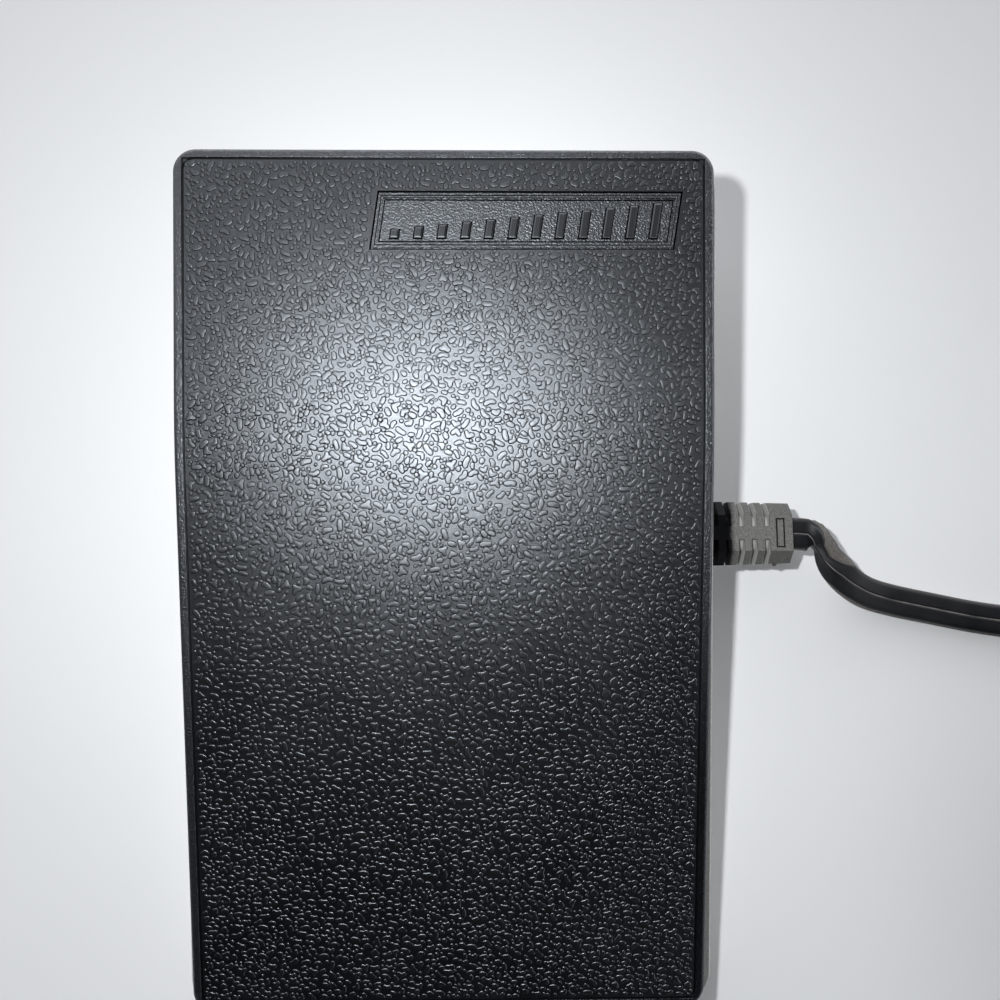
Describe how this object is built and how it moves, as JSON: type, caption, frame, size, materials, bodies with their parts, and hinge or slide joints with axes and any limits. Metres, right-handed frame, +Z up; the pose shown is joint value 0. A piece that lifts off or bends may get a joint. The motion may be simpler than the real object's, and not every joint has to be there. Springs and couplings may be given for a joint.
{
  "type": "sewing machine foot pedal",
  "caption": "Wedge-shaped foot speed control with a hinged pebbled treadle over a rimmed tray, a toothed sector that turns a potentiometer, and a flat cord with a plug.",
  "frame": {"origin": "on the floor under the middle of the tray, measured without the cord", "axes": "+Y to the toe end, +X to the side where the cord leaves, +Z up from the floor"},
  "size_m": [0.3211, 0.1982, 0.0482],
  "materials": {
    "tray_plastic": "fine sandy moulding texture",
    "treadle_plastic": "raised pebble grain, semi-matt",
    "rubber": "matt",
    "steel": "drawn wire",
    "board": "phenolic board",
    "zinc": "zinc plated",
    "capacitor_red": "dipped",
    "capacitor_blue": "dipped",
    "ferrite": "sintered",
    "copper": "enamelled wire",
    "aluminium": "rolled sheet",
    "component_black": "moulded",
    "resistor_tan": "lacquered",
    "trimmer_white": "moulded",
    "fuse_glass": "clear tube",
    "brass": "turned",
    "terminal_green": "moulded",
    "lead_brown": "wire sheath",
    "fibre": "hard fibre",
    "nylon": "moulded nylon",
    "relief_rubber": "fine matt texture",
    "cord_sheath": "satin sheath with a groove",
    "tie_strap": "soft strap",
    "plug_plastic": "moulded, satin"
  },
  "bodies": {
    "base": {"base_shell": "tray_plastic", "rubber_feet": "rubber", "hinge_rod": "steel", "hinge_clips": "steel", "return_spring_left": "steel", "return_spring_right": "steel", "buffer_pads": "rubber", "circuit_board": "board", "board_screws": "zinc", "film_capacitor": "capacitor_red", "disc_capacitor": "capacitor_blue", "choke_core": "ferrite", "choke_winding": "copper", "heat_sink": "aluminium", "triac": "component_black", "triac_screw": "zinc", "triac_nut": "zinc", "resistors": "resistor_tan", "trimmer": "trimmer_white", "fuse": "fuse_glass", "fuse_clips": "brass", "terminal_block": "terminal_green", "terminal_screws": "zinc", "lead_wires": "lead_brown", "pot_body": "component_black", "pot_nut": "zinc", "pot_bracket": "zinc", "bracket_screws": "zinc", "cord_clamp": "fibre", "clamp_screws": "zinc", "strain_relief": "relief_rubber", "cord_core": "cord_sheath", "cord_run": "cord_sheath", "cord_coil": "cord_sheath", "cord_tie": "tie_strap", "cord_tail": "cord_sheath", "plug_body": "plug_plastic", "plug_pins": "brass"},
    "treadle": {"treadle_shell": "treadle_plastic", "rack_sector": "nylon", "sector_screws": "zinc"},
    "pot_rotor": {"pot_shaft": "aluminium", "pinion": "nylon"}
  },
  "joints": [
    {"name": "treadle_hinge", "type": "hinge", "parent": "base", "child": "treadle", "pos_m": [0, -0.08, 0.013], "axis": [-1, 0, 0], "range_deg": [0, 2.75], "stiffness_Nm_per_rad": 6, "springref_deg": -5.73, "deforming": ["return_spring_left", "return_spring_right"]},
    {"name": "pot_spin", "type": "hinge", "parent": "base", "child": "pot_rotor", "pos_m": [0, 0.02466, 0.01849], "axis": [1, 0, 0], "range_deg": [0, 60]}
  ],
  "couplings": [
    {"joint": "pot_spin", "follows": "treadle_hinge", "ratio": 20.833}
  ]
}
